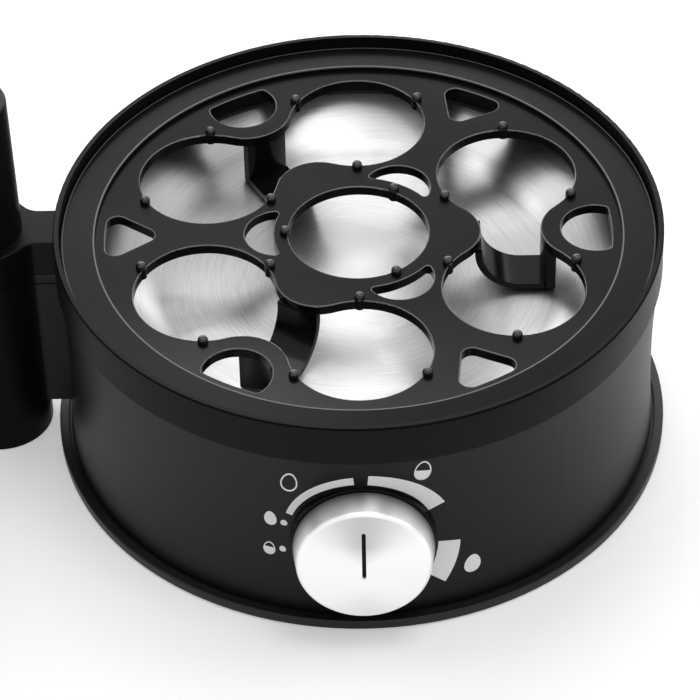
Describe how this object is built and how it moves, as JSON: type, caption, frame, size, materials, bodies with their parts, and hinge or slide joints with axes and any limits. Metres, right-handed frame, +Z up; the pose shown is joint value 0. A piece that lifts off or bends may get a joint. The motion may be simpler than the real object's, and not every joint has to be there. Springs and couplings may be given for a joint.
{
  "type": "electric egg cooker",
  "caption": "Round black tabletop egg cooker with a pierced egg tray over a steel heating dish, a chrome front knob, and a domed lid that swivels on a side post.",
  "frame": {"origin": "on the table, under the lid's post, on the axis that the lid lifts and turns about", "axes": "+Z up; the knob faces -Y; the drum stands on the +X side of the post, and the open lid reaches out to -X"},
  "size_m": [0.4194, 0.1996, 0.1546],
  "materials": {
    "body_black": "satin black moulding",
    "black_plastic": "fine matte black moulding",
    "tray_black": "semi-gloss black moulding",
    "bezel_black": "gloss black moulding",
    "pointer_black": "gloss black inlay",
    "foot_rubber": "matte rubber",
    "seal_rubber": "silicone rubber",
    "brushed_steel": "circularly brushed stainless steel",
    "hood_steel": "brushed stainless steel",
    "rod_steel": "ground steel rod",
    "fastener_steel": "zinc-plated steel",
    "element_sheath": "dull oxidised sheath",
    "aluminium": "die-cast aluminium",
    "knob_chrome": "polished chrome plating",
    "control_plastic": "dark moulded plastic",
    "terminal_plastic": "pale moulded plastic",
    "bush_plastic": "natural acetal",
    "board_green": "glass-fibre board"
  },
  "bodies": {
    "base": {"base_pan": "black_plastic", "housing_shell": "body_black", "collar_ring": "body_black", "rubber_feet": "foot_rubber", "housing_screws": "fastener_steel", "heating_dish": "brushed_steel", "dish_seal": "seal_rubber", "heat_spreader": "aluminium", "heater_nuts": "fastener_steel", "heating_element": "element_sheath", "element_pins": "fastener_steel", "thermostat": "control_plastic", "thermal_fuse": "fastener_steel", "knob_bezel": "bezel_black", "rotary_control": "control_plastic", "control_board": "board_green", "buzzer": "control_plastic", "cord_gland": "seal_rubber", "terminal_block": "terminal_plastic", "column_cover": "black_plastic", "rod_bush": "bush_plastic"},
    "tray": {"egg_tray": "tray_black"},
    "knob": {"knob": "knob_chrome", "knob_pointer": "pointer_black", "control_shaft": "fastener_steel"},
    "post": {"lift_rod": "rod_steel", "rod_guide": "bush_plastic", "rod_screw": "fastener_steel"},
    "lid": {"lid_hood": "hood_steel", "lid_rim": "black_plastic", "lid_arm": "body_black", "lid_rivets": "fastener_steel", "barrel_cap": "black_plastic", "lid_handle": "black_plastic", "handle_screw": "fastener_steel"}
  },
  "joints": [
    {"name": "knob_turn", "type": "hinge", "parent": "base", "child": "knob", "pos_m": [0.1145, -0.09379, 0.03328], "axis": [0, 0.996, -0.0889], "range_deg": [-106, 131]},
    {"name": "tray_lift", "type": "slide", "parent": "base", "child": "tray", "axis": [0, 0, 1], "range_m": [0, 0.03]},
    {"name": "lid_lift", "type": "slide", "parent": "base", "child": "post", "axis": [0, 0, 1], "range_m": [0, 0.045]},
    {"name": "lid_swivel", "type": "hinge", "parent": "post", "child": "lid", "pos_m": [0, 0, 0.1], "axis": [0, 0, -1], "range_deg": [0, 180]}
  ]
}
